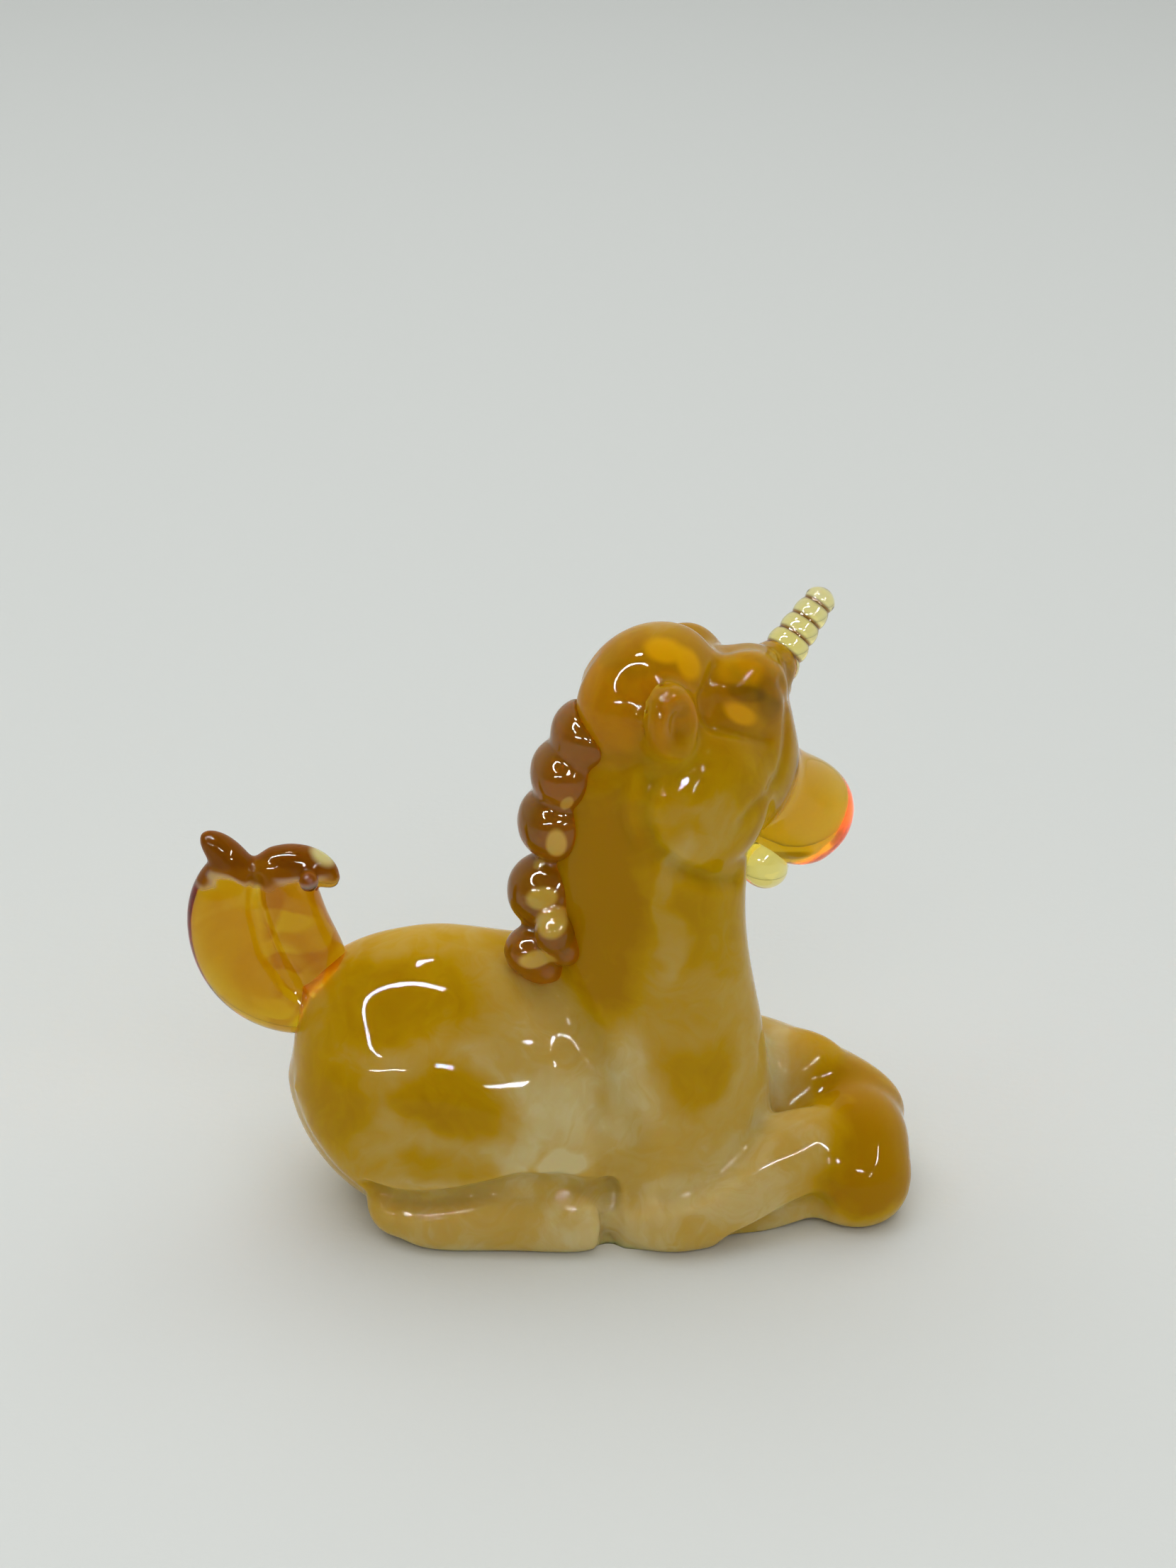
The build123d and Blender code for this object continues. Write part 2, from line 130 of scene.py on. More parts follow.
# Grooves pressed into the near side: places in x and z, width and depth, in millimetres
FLANK_VALLEY = (((-0.7, 29), (2.5, 25.4), (5.2, 20.5), (7.5, 15.2), (8.4, 12.5), (7.3, 8.5)), 4.2, 1.3)
THIGH_FOOT = (
    ((-19.7, 7.2), (-17, 6.5), (-14, 6.6), (-10.5, 7.2), (-7, 8.3), (-4, 9.5), (0.6, 9.4), (5.2, 7.2)),
    2.0, 1.2,
)
HIND_HOOF_END = (((5.9, 7.6), (5.9, 5), (5.9, 2.4), (5.9, 0.4)), 1.7, 1.5)
JAW = (((9.8, 54.1), (9.2, 50.8), (10.4, 47.3), (13, 44.4), (16.3, 42.4), (19.5, 40.8)), 1.7, 0.8)
FORELEG_TOP = (((22.6, 12.4), (21.4, 11.4), (18.9, 10), (15.4, 8.5), (12, 7.6)), 2.0, 0.6)
FORELEG_ARCH = (((20, 0.8), (23, 1.8), (26, 3), (28.4, 3.6)), 3.0, 1.5)
EYE_CREASE = (
    (
        (16.8, 64.2), (16.2, 63.3), (15.2, 62), (15.6, 59.9), (16.4, 58.6), (18.3, 57.9), (20.4, 56.9),
        (22.4, 55.8),
    ),
    1.0, 0.5,
)
CHEEK_LINE = (((23.8, 61.3), (24.6, 58), (24.6, 55.5), (23.8, 51.3), (21, 49.9), (19.5, 48.9)), 1.3, 0.35)
TAIL_SPLIT = (((-31.9, 39.5), (-32.2, 36.1), (-31.3, 31.5), (-28.7, 27.1), (-27.1, 25.8)), 1.1, 0.7)
EAR_RIM = (
    ((8.6, 64.9), (7.8, 62.9), (8.2, 59.4), (9.5, 55.4), (12, 54.4), (14.4, 56), (15, 58.8)),
    1.5, 0.16,
)
EAR_PIT = (((10.7, 63.4), (10.9, 63.1)), 1.2, 0.35)


def paint(red, green, blue):
    """A colour as a paint chart gives it, 0 to 255, turned into Blender's linear values."""
    shares = [value / 255 for value in (red, green, blue)]
    return [s / 12.92 if s <= 0.04045 else ((s + 0.055) / 1.055) ** 2.4 for s in shares]


def dye(red, green, blue):
    """The same colour, as a material takes it."""
    return (*paint(red, green, blue), 1)


def soak_property(name, per_metre):
    """How fast red, green and blue light die away in a kind of glass."""
    return FloatVectorProperty(
        name=name, description="Light lost per metre of glass, by colour", default=per_metre,
    )


def colour_property(name, description, red, green, blue):
    """A colour that a user may change."""
    return FloatVectorProperty(
        name=name, description=description, subtype="COLOR", default=paint(red, green, blue), min=0, max=1,
    )


class CastingSettings(bpy.types.PropertyGroup):
    """The swirled casting: its grain, softness and colours."""

    grain: FloatProperty(
        name="Grain", description="Size of the cells that the forms are fused at",
        default=0.38 * MM, subtype="DISTANCE", unit="LENGTH",
    )
    soft_rounds: IntProperty(
        name="Fire polish", description="Rounds of softening over the whole casting", default=5,
    )
    haunch_rounds: IntProperty(
        name="Haunch polish", description="More rounds where thigh and flank run together", default=70,
    )
    head_rounds: IntProperty(
        name="Head polish", description="More rounds where ears and lids run into the head", default=22,
    )
    deep: colour_property("Deep amber", "Glass without milk", 174, 127, 3)
    amber: colour_property("Amber", "Glass with a little milk", 192, 150, 6)
    cream: colour_property("Cream", "Glass with much milk", 200, 168, 86)
    pale: colour_property("Pale", "The milkiest glass", 212, 196, 142)
    muzzle: colour_property("Muzzle", "Tint of the clear glass in the muzzle", 246, 230, 180)
    # The colour of the painted light where light gathers in the head, and of the painted shade where little
    # light reaches it
    bright: colour_property("Bright", "Where light gathers in the head", 236, 184, 6)
    shade: colour_property("Shade", "Where little light reaches in the head", 96, 68, 4)
    swirl_size: FloatProperty(
        name="Swirl size", description="Width of one swirl", default=13 * MM, unit="LENGTH",
    )


class ClearSettings(bpy.types.PropertyGroup):
    """The clear glass: how it bends and soaks up light."""

    bending: FloatProperty(
        name="Bending", description="Refractive index of the mane, horn and beard", default=1.5,
    )
    thin_bending: FloatProperty(
        name="Thin bending", description="Refractive index of the casting and the tail", default=1.3,
    )
    casting_soak: soak_property("Casting", (18, 58, 1500))
    tail_soak: soak_property("Tail", (60, 150, 900))
    mane_soak: soak_property("Mane", (60, 110, 3000))
    horn_soak: soak_property("Horn", (6, 36, 290))


class StudioSettings(bpy.types.PropertyGroup):
    """The paper, the lights and the camera."""

    paper: colour_property("Paper", "Colour of the floor", 222, 225, 222)
    camera_distance: FloatProperty(
        name="Camera distance", description="From the lens to the point it looks at",
        default=300 * MM, unit="LENGTH",
    )
    camera_height_angle: FloatProperty(
        name="Camera height", description="Angle above the horizon",
        default=math.radians(25), subtype="ANGLE",
    )
    lens: FloatProperty(name="Lens", description="Focal length in millimetres", default=65.1)
    room: FloatProperty(name="Room", description="Strength of the light from the room", default=0.66)


# Shared mesh work


def gather(bm, node, swell):
    """Adds a merged copy of a CAD node's mesh, grown a little so that neighbours overlap."""
    part = bmesh.new()
    part.from_mesh(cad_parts[node].data)
    bmesh.ops.remove_doubles(part, verts=part.verts, dist=WELD)
    bmesh.ops.recalc_face_normals(part, faces=part.faces)
    part.normal_update()
    for vertex in part.verts:
        vertex.co += vertex.normal * swell
    copy = bpy.data.meshes.new(node + "_copy")
    part.to_mesh(copy)
    part.free()
    bm.from_mesh(copy)
    bpy.data.meshes.remove(copy)


def knob(bm, centre, size):
    """Adds a rounded lump, given as its centre and three sizes in millimetres."""
    place = Matrix.Translation(Vector(centre) * MM) @ Matrix.Diagonal((*(Vector(size) * MM), 1))
    bmesh.ops.create_uvsphere(bm, u_segments=32, v_segments=20, radius=0.5, matrix=place)


def fused(name, bm, grain):
    """One closed skin over everything in the bmesh, as a new bmesh."""
    loose = bpy.data.meshes.new(name + "_loose")
    bm.to_mesh(loose)
    bm.free()
    carrier = bpy.data.objects.new(name + "_loose", loose)
    bpy.context.scene.collection.objects.link(carrier)
    skin = carrier.modifiers.new("Skin", "REMESH")
    skin.mode = "VOXEL"
    skin.voxel_size = grain
    ready = carrier.evaluated_get(bpy.context.evaluated_depsgraph_get())
    out = bmesh.new()
    out.from_mesh(ready.data)
    bpy.data.objects.remove(carrier)
    bpy.data.meshes.remove(loose)
    return out


def soften(bm, rounds, chosen=None):
    """Smooths the chosen vertices, or all of them, a number of times."""
    verts = bm.verts[:] if chosen is None else [v for v in bm.verts if chosen(v.co)]
    for _ in range(rounds):
        bmesh.ops.smooth_vert(
            bm, verts=verts, factor=SOFTENING, use_axis_x=True, use_axis_y=True, use_axis_z=True,
        )


def press(bm, groove, twin=None):
    """Presses a groove into the near side, and into the far side where a twin of each place is given."""
    places, width, depth = groove
    width *= MM
    depth *= MM
    skin = BVHTree.FromBMesh(bm)
    line = []
    for x, z in places:
        seat = skin.ray_cast(Vector((x * MM, cad_box[0][1] - width, z * MM)), Vector((0, 1, 0)))[0]
        if seat:
            line.append(seat)
    lines = [line] if twin is None else [line, [twin(place) for place in line]]
    bm.normal_update()
    for route in lines:
        stretches = list(zip(route, route[1:]))
        low = Vector([min(place[axis] for place in route) - width for axis in range(3)])
        high = Vector([max(place[axis] for place in route) + width for axis in range(3)])
        for vertex in bm.verts:
            x, y, z = vertex.co
            if not (low.x < x < high.x and low.y < y < high.y and low.z < z < high.z):
                continue
            away = width
            for start, end in stretches:
                nearest, share = intersect_point_line(vertex.co, start, end)
                nearest = start if share < 0 else end if share > 1 else nearest
                away = min(away, (vertex.co - nearest).length)
            vertex.co -= vertex.normal * (depth * (0.5 + 0.5 * math.cos(math.pi * away / width)))


def across_body(place):
    """The same place on the animal's other side."""
    return Vector((place.x, -place.y, place.z))


def across_head(place):
    """The same place on the other side of the turned head."""
    return place - HEAD_SIDE * (2 * (place - POLL).dot(HEAD_SIDE))


def finished(name, bm, material, nodes):
    """Makes the piece's object, hangs it on the body and hides the CAD nodes it stands in for."""
    bmesh.ops.recalc_face_normals(bm, faces=bm.faces)
    for face in bm.faces:
        face.smooth = True
    mesh = bpy.data.meshes.new(name)
    bm.to_mesh(mesh)
    bm.free()
    mesh.materials.append(material)
    piece = bpy.data.objects.new(name, mesh)
    bpy.context.scene.collection.objects.link(piece)
    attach(piece, BODY)
    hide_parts(*nodes)


# Shared material work

# Less than a plain dielectric's shine, because the strip lamps are bright enough to show on it
SHINE = 0.15

# How rough a fire-polished skin is, and the width and depth of the waves in it and in the paper
POLISH = 0.02
CASTING_WAVES = (4 * MM, 0.03 * MM)
CLEAR_WAVES = (5 * MM, 0.035 * MM)
PAPER_WAVES = (1.2 * MM, 0.03 * MM)

# How far red, green and blue light wander in the milk, against each other, and how far in all
MILK_REACH = (1.0, 0.65, 0.25)
CASTING_MILK_DEPTH = 3.5 * MM
CLEAR_MILK_DEPTH = 2 * MM

# What the milk adds to the roughness where light comes from inside, so that nothing shows through it
MILK_ROUGHNESS = 0.9

# Where the soft edge of a patch begins and ends: 0 is its centre and 1 its skin. Patches of painted light and
# painted shade use the pane edges
MILK_EDGE = (0.45, 1.05)
PAINTED_PATCH_EDGE = (0.55, 1.1)
MANE_PAINTED_PATCH_EDGE = (0.7, 1.1)
CURL_END_EDGE = (0.6, 1.05)
MUZZLE_EDGE = (0.8, 1.15)
WHITE = (1, 1, 1, 1)


def new_material(name):
    """An empty node material with its output."""
    material = bpy.data.materials.new(name)
    material.use_nodes = True
    tree = material.node_tree
    tree.nodes.clear()
    return material, tree, tree.nodes.new("ShaderNodeOutputMaterial")


def add(tree, kind, inputs=None, **settings):
    """Adds a shader node with its settings and its input values or links."""
    node = tree.nodes.new("ShaderNode" + kind)
    for name, value in settings.items():
        setattr(node, name, value)
    for key, value in (inputs or {}).items():
        if isinstance(value, bpy.types.NodeSocket):
            tree.links.new(value, node.inputs[key])
        else:
            node.inputs[key].default_value = value
    return node


def math_of(tree, operation, first, second):
    """One sum in a material."""
    return add(tree, "Math", {0: first, 1: second}, operation=operation).outputs[0]


def rising(tree, value, low, high, start=0.0, end=1.0):
    """Runs smoothly from start to end while a value goes from low to high."""
    return add(tree, "MapRange", {
        "Value": value, "From Min": low, "From Max": high, "To Min": start, "To Max": end,
    }, interpolation_type="SMOOTHSTEP").outputs[0]


def body_of_glass(tree, soak):
    """The light that clear glass soaks up on its way through."""
    most = max(soak)
    return add(tree, "VolumeAbsorption", {
        "Color": (*[1 - share / most for share in soak], 1), "Density": most,
    }).outputs[0]


def waves(tree, place, size, depth):
    """The gentle unevenness of a skin."""
    ripple = add(tree, "TexNoise", {"Vector": place, "Scale": 1 / size, "Detail": 2.0})
    bump = add(tree, "Bump", {"Strength": 1.0, "Distance": depth, "Height": ripple.outputs["Fac"]})
    return bump.outputs["Normal"]


def mixed(tree, amount, first, second):
    """A colour between two others."""
    return add(tree, "Mix", {0: amount, 6: first, 7: second}, data_type="RGBA").outputs[2]


def far_from(tree, place, centre, size, tilt=0):
    """How far a place is from an egg-shaped patch: 0 at its centre, 1 at its skin."""
    inside = add(tree, "Mapping", {
        "Vector": place,
        "Location": Vector(centre) * MM,
        "Rotation": (0, math.radians(tilt), 0),
        "Scale": Vector(size) * MM,
    }, vector_type="TEXTURE").outputs[0]
    return add(tree, "VectorMath", {0: inside}, operation="LENGTH").outputs["Value"]


def clear_glass(name, soak, bending, look=None):
    """Clear glass with a fire-polished skin. A look adds its own tint and its milkiness."""
    material, tree, output = new_material(name)
    place = add(tree, "TexCoord").outputs["Object"]
    tint, through = look(tree, place) if look else (WHITE, 1.0)
    skin = add(tree, "BsdfPrincipled", {
        "Base Color": tint,
        "Roughness": POLISH,
        "IOR": bending,
        "Specular IOR Level": SHINE,
        "Transmission Weight": through,
        "Subsurface Weight": 1.0,
        "Subsurface Radius": MILK_REACH,
        "Subsurface Scale": CLEAR_MILK_DEPTH,
        "Normal": waves(tree, place, *CLEAR_WAVES),
    })
    tree.links.new(skin.outputs[0], output.inputs["Surface"])
    tree.links.new(body_of_glass(tree, soak), output.inputs["Volume"])
    return material


# The tail's tints, the heights between which its curls turn brown, the pale end of one curl in millimetres,
# where the inner lock begins along X, and how milky a curl is
STREAK_TINT = dye(236, 186, 70)
FLOW_TINT = dye(222, 180, 120)
CURL_TINT = dye(146, 88, 4)
CURL_END_TINT = dye(232, 226, 160)
CURL_HEIGHTS = (39.0 * MM, 40.0 * MM)
CURL_END = ((-24.2, -1, 42.4), (2.6, 5, 1.6), 35)
INNER_LOCK = (-32 * MM, -30.5 * MM)
CURL_MILK = 0.7


def tail_look(tree, place):
    """Faint streaks, darker flow lines in the inner lock, and brown curls with one pale end."""
    streaks = add(tree, "TexNoise", {"Vector": place, "Scale": 110.0, "Detail": 1.0, "Distortion": 1.6})
    part = add(tree, "SeparateXYZ", {0: place})
    tint = mixed(tree, rising(tree, streaks.outputs["Fac"], 0.45, 0.65, 0, 0.4), WHITE, STREAK_TINT)
    inner = rising(tree, part.outputs["X"], *INNER_LOCK)
    flow = math_of(tree, "MULTIPLY", inner, rising(tree, streaks.outputs["Fac"], 0.44, 0.54))
    tint = mixed(tree, flow, tint, FLOW_TINT)
    wobble = rising(tree, streaks.outputs["Fac"], 0.3, 0.7, -0.8 * MM, 0.8 * MM)
    high = math_of(tree, "ADD", part.outputs["Z"], wobble)
    curled = rising(tree, high, *CURL_HEIGHTS)
    tint = mixed(tree, curled, tint, CURL_TINT)
    pale = rising(tree, far_from(tree, place, *CURL_END), *CURL_END_EDGE, 1, 0)
    tint = mixed(tree, pale, tint, CURL_END_TINT)
    milk = math_of(tree, "MULTIPLY", math_of(tree, "MAXIMUM", pale, curled), CURL_MILK)
    return tint, math_of(tree, "SUBTRACT", 1.0, milk)


# The mane's tints and clearness, and the painted light where light shows through its knobs, in millimetres:
# centre, size, tilt and how much
MANE_TINT = dye(168, 116, 4)
MANE_PAINTED_LIGHT_TINT = dye(240, 214, 96)
MANE_CLEARNESS = 0.5
MANE_PAINTED_LIGHT = (
    ((0.3, -7, 46.1), (1.2, 5, 1.9), 0, 1.0),
    ((-1.3, -7, 39.6), (1.9, 5, 1.3), -15, 0.95),
    ((-0.2, -7, 37.5), (1.8, 5, 1.4), -15, 0.95),
    ((-1.8, -7, 32.8), (2.2, 5, 1.1), -12, 0.95),
    ((1.4, -7, 50.6), (0.7, 5, 1.1), 25, 0.7),
    ((-1.6, -7, 42.6), (1.0, 5, 0.5), -25, 0.8),
)


def mane_look(tree, place):
    """Amber round the painted light in the bright middle of each knob, on glass that is half clear."""
    tint = MANE_TINT
    for centre, size, tilt, amount in MANE_PAINTED_LIGHT:
        # Painted light in the middle of each knob
        reach = rising(tree, far_from(tree, place, centre, size, tilt), *MANE_PAINTED_PATCH_EDGE, amount, 0)
        tint = mixed(tree, reach, tint, MANE_PAINTED_LIGHT_TINT)
    return tint, MANE_CLEARNESS


# The painted shadow, in brown, in the horn's grooves
HORN_PAINTED_SHADOW = dye(104, 60, 16)


def horn_look(tree, place):
    """Painted brown shadows in the horn's grooves and at its tip."""
    axis = HORN_TIP - HORN_FOOT
    offset = add(tree, "VectorMath", {0: place, 1: HORN_FOOT}, operation="SUBTRACT").outputs[0]
    share = add(tree, "VectorMath", {0: offset, 1: axis / axis.length_squared}, operation="DOT_PRODUCT")
    turn = math_of(tree, "MULTIPLY", share.outputs["Value"], math.pi * HORN_BANDS)
    band = add(tree, "Math", {0: math_of(tree, "SINE", turn, 0.0)}, operation="ABSOLUTE").outputs[0]
    return mixed(tree, rising(tree, band, 0.12, 0.62), HORN_PAINTED_SHADOW, WHITE), 1.0


# How far the swirls are pulled about, and the heights between which the milk thins out, from how much
# to how much
SWIRL_PULL = 12 * MM
MILK_HEIGHTS = (8 * MM, 48 * MM)
MILK_LOW = 0.74
MILK_HIGH = 0.2

# Where the milk in the casting is thicker or thinner, in millimetres: centre, size and how much
MILK_PATCHES = (
    ("neck column", (5, -7, 38), (7, 14, 17), -0.4),
    ("flank", (-3, -12, 21), (15, 14, 9), 0.2),
    ("neck streak", (12.5, -9, 40), (1.6, 12, 9), 0.25),
    ("cheek", (14.5, -10, 47), (7, 9, 5.5), 0.26),
    ("breast", (15.5, -12, 21), (7, 8, 5), -0.3),
    ("breast streak", (7.5, -12, 21), (3, 8, 8), 0.16),
    ("knee", (35, -3, 6.5), (12, 16, 9), -0.85),
    ("far knee", (31, 6, 13), (8, 10, 5), -0.3),
    ("far leg", (25, 3, 14), (5, 7, 6), 0.15),
    ("haunch", (-11, -14, 19), (8, 9, 5.5), -0.5),
    ("upper haunch", (-15, -8, 27), (12, 10, 5), -0.3),
    # The rump: deeper amber glass, and also a painted shade that darkens the rump's rear edge
    ("rump", (-25, -7, 14), (10, 15, 14), -0.42),
    ("back", (-2, -6, 29), (8, 10, 5), 0.12),
    ("oval", (1.4, -15, 12.6), (4.4, 6, 3), 0.7),
    ("haunch curl", (-4.5, -15, 14), (3.4, 6, 3.2), 0.22),
    ("haunch low", (-13, -14, 10.5), (9, 8, 3), -0.3),
    ("hind hoof", (2, -15, 4), (9, 8, 4), 0.08),
    ("far flank", (-6, 14, 18), (12, 9, 6), -0.4),
    ("far neck", (8, 12, 34), (9, 8, 12), -0.3),
    # The poll: paler milky skin, and also a painted reflection of the bright room along the poll's top
    ("poll", (7.5, 0, 68), (6, 6, 1.6), 0.4),
)

# Painted light where light gathers in the head, and painted shade where it fails to reach it, in millimetres:
# centre, size, tilt and how much
PAINTED_LIGHT = (
    ("forelock left", (11.4, -3.7, 66.8), (2.5, 3.5, 1.1), 12, 0.9),
    ("forelock right", (13.9, -3.8, 65.4), (2.0, 3.5, 1.2), 52, 0.9),
    ("brow low", (19.4, -2.7, 59.3), (2.4, 3.0, 1.15), 35, 0.95),
    ("brow high", (19.5, -1.4, 63.5), (3.2, 3.0, 1.5), 8, 0.4),
)
# The painted shade
PAINTED_SHADE = (
    ("brow band", (22.6, -1.0, 60.2), (1.8, 4.0, 3.6), -12, 0.4),
    ("brow middle", (20.0, -2.2, 61.4), (2.8, 3.0, 1.0), 20, 0.4),
    ("snout", (26.4, 3.6, 50.8), (0.7, 1.8, 2.0), 14, 0.6),
    ("chin", (25.6, 8.0, 37.4), (3.2, 6.0, 0.9), -10, 0.8),
    ("ear middle", (10.6, -5.0, 62.0), (2.2, 4.0, 2.6), 0, 0.25),
)


def milk_in(tree, place, swirl_size):
    """How milky the glass is at each place, from 0, clear, to 1, pale."""
    drift = add(tree, "TexNoise", {"Vector": place, "Scale": 1 / swirl_size, "Detail": 3.0})
    centred = add(tree, "VectorMath", {0: drift.outputs["Color"], 1: (0.5, 0.5, 0.5)}, operation="SUBTRACT")
    pulled = add(tree, "VectorMath", {0: centred.outputs[0], 1: [SWIRL_PULL] * 3}, operation="MULTIPLY")
    bent = add(tree, "VectorMath", {0: place, 1: pulled.outputs[0]}, operation="ADD").outputs[0]
    height = add(tree, "SeparateXYZ", {0: bent}).outputs["Z"]
    milk = rising(tree, height, *MILK_HEIGHTS, MILK_LOW, MILK_HIGH)
    for _, centre, size, amount in MILK_PATCHES:
        patch = rising(tree, far_from(tree, bent, centre, size), *MILK_EDGE, amount, 0)
        milk = math_of(tree, "ADD", milk, patch)
    broad = add(tree, "TexNoise", {
        "Vector": bent, "Scale": 0.9 / swirl_size, "Detail": 2.0, "Distortion": 1.6,
    }).outputs["Fac"]
    milk = math_of(tree, "ADD", milk, rising(tree, broad, 0.34, 0.66, -0.1, 0.1))
    fine = add(tree, "TexNoise", {
        "Vector": bent, "Scale": 3.2 / swirl_size, "Detail": 3.0, "Distortion": 2.2,
    }).outputs["Fac"]
    return math_of(tree, "ADD", milk, rising(tree, fine, 0.32, 0.68, -0.045, 0.045))


# The milk in the head ends at a roof-shaped limit: the roof's ridge along X, its slope, the heights over
# which the milk ends, and how clear the glass is above it
CREST_X = 14 * MM
CREST_SLOPE = 0.5
CREST_HEIGHTS = (56.5 * MM, 61.5 * MM)
CREST_CLEARNESS = 0.3

# The clear glass in the muzzle, in millimetres: centre, then size
MUZZLE_CORE = ((29.0, 12.0, 43.0), (9.6, 14.0, 10.5))
MUZZLE_CLEARNESS = 0.95


def casting_glass():
    """Milky glass with amber swirls, a little clear in the top of the head and clear in the muzzle, with
    painted light and painted shade in the head.
    """
    casting = bpy.context.scene.unicorn_casting
    clear = bpy.context.scene.unicorn_clear
    material, tree, output = new_material("swirled_glass")
    place = add(tree, "TexCoord").outputs["Object"]
    milk = milk_in(tree, place, casting.swirl_size)
    colour = add(tree, "ValToRGB", {0: milk})
    stops = ((0, casting.deep), (0.32, casting.amber), (0.72, casting.cream), (1, casting.pale))
    ramp = colour.color_ramp.elements
    for at, _ in stops[1:-1]:
        ramp.new(at)
    for stop, (at, shade) in zip(ramp, stops):
        stop.position = at
        stop.color = (*shade, 1)
    part = add(tree, "SeparateXYZ", {0: place})
    beside = math_of(tree, "SUBTRACT", part.outputs["X"], CREST_X)
    beside = add(tree, "Math", {0: beside}, operation="ABSOLUTE").outputs[0]
    lift = add(tree, "Math", {0: beside, 1: CREST_SLOPE, 2: part.outputs["Z"]}, operation="MULTIPLY_ADD")
    head_clearness = rising(tree, lift.outputs[0], *CREST_HEIGHTS, 0, CREST_CLEARNESS)
    ahead = far_from(tree, place, *MUZZLE_CORE)
    muzzle_clearness = rising(tree, ahead, *MUZZLE_EDGE, MUZZLE_CLEARNESS, 0)
    clearness = math_of(tree, "MAXIMUM", head_clearness, muzzle_clearness)
    tint = mixed(tree, rising(tree, muzzle_clearness, 0.5, 0.95), colour.outputs[0], (*casting.muzzle, 1))
    # Painted light and painted shade laid over the glass colour of the head
    for patches, shade in ((PAINTED_LIGHT, casting.bright), (PAINTED_SHADE, casting.shade)):
        for _, centre, size, tilt, amount in patches:
            reach = rising(tree, far_from(tree, place, centre, size, tilt), *PAINTED_PATCH_EDGE, amount, 0)
            tint = mixed(tree, reach, tint, (*shade, 1))
    behind = add(tree, "NewGeometry").outputs["Backfacing"]
    through = math_of(tree, "MAXIMUM", clearness, behind)
    milky = math_of(tree, "SUBTRACT", 1.0, clearness)
    veil = math_of(tree, "MULTIPLY", milky, behind)
    roughness = add(tree, "Math", {0: veil, 1: MILK_ROUGHNESS, 2: POLISH}, operation="MULTIPLY_ADD")
    skin = add(tree, "BsdfPrincipled", {
        "Base Color": tint,
        "Roughness": roughness.outputs[0],
        "IOR": clear.thin_bending,
        "Specular IOR Level": SHINE,
        "Transmission Weight": through,
        "Subsurface Weight": 1.0,
        "Subsurface Radius": MILK_REACH,
        "Subsurface Scale": CASTING_MILK_DEPTH,
        "Normal": waves(tree, place, *CASTING_WAVES),
    })
    tree.links.new(skin.outputs[0], output.inputs["Surface"])
    tree.links.new(body_of_glass(tree, clear.casting_soak), output.inputs["Volume"])
    return material


# The pieces


def on_haunch(place):
    """Where thigh and flank run together, above the folded leg."""
    return -28.5 * MM < place.x < 3 * MM and 13 * MM < place.z < 31.5 * MM and abs(place.y) > 3 * MM


def on_head(place):
    """The poll, the ears and the brow."""
    return place.z > 53 * MM


def on_knee(place):
    """The far foreleg, and where the two folded forelegs meet."""
    if place.z >= 20 * MM:
        return False
    far_leg = place.x > 19 * MM and place.y > -1 * MM and place.z > 5 * MM
    return place.x > 28 * MM or far_leg


def on_muzzle(place):
    """The bridge from the brow to the muzzle, and the muzzle itself."""
    return place.x > 22.5 * MM and 36 * MM < place.z < 56 * MM


class UNICORN_OT_casting(bpy.types.Operator):
    """Pour the body, neck, head and legs as one swirled casting"""

    bl_idname = "unicorn.casting"
    bl_label = "Pour the casting"

    def execute(self, context):
        casting = context.scene.unicorn_casting
        bm = bmesh.new()
        for node in CASTING_NODES:
            gather(bm, node, CASTING_SWELLS.get(node, CASTING_SWELL) * MM)
        centre, size = HOCK
        for side in (-1, 1):
            knob(bm, (centre[0], side * centre[1], centre[2]), size)
        for centre, size in CASTING_FILLS:
            knob(bm, centre, size)
        bm = fused("casting", bm, casting.grain)
        soften(bm, casting.haunch_rounds, on_haunch)
        soften(bm, casting.head_rounds, on_head)
        soften(bm, casting.head_rounds, on_knee)
        soften(bm, casting.head_rounds, on_muzzle)
        soften(bm, casting.soft_rounds)
        for groove in (FLANK_VALLEY, THIGH_FOOT, HIND_HOOF_END):
            press(bm, groove, across_body)
        for groove in (FORELEG_TOP, FORELEG_ARCH):
            press(bm, groove)
        for groove in (JAW, CHEEK_LINE, EYE_CREASE, EAR_RIM, EAR_PIT):
            press(bm, groove, across_head)
        soften(bm, GROOVE_ROUNDS)
        bmesh.ops.bisect_plane(
            bm, geom=bm.verts[:] + bm.edges[:] + bm.faces[:],
            plane_co=(0, 0, 0), plane_no=(0, 0, -1), clear_outer=True,
        )
        rim = [edge for edge in bm.edges if edge.is_boundary]
        bmesh.ops.edgeloop_fill(bm, edges=rim)
        finished("casting", bm, casting_glass(), CASTING_NODES)
        return {"FINISHED"}


class UNICORN_OT_mane(bpy.types.Operator):
    """Press the chain of mane knobs down the back of the neck"""

    bl_idname = "unicorn.mane"
    bl_label = "Press the mane"

    def execute(self, context):
        bm = bmesh.new()
        for node, swell in zip(MANE_NODES, MANE_SWELLS):
            gather(bm, node, swell * MM)
        for centre, size in MANE_FILLS:
            knob(bm, centre, size)
        bm = fused("mane", bm, MANE_GRAIN)
        soften(bm, MANE_ROUNDS)
        clear = context.scene.unicorn_clear
        glass = clear_glass("mane_glass", clear.mane_soak, clear.bending, mane_look)
        finished("mane", bm, glass, MANE_NODES)
        return {"FINISHED"}


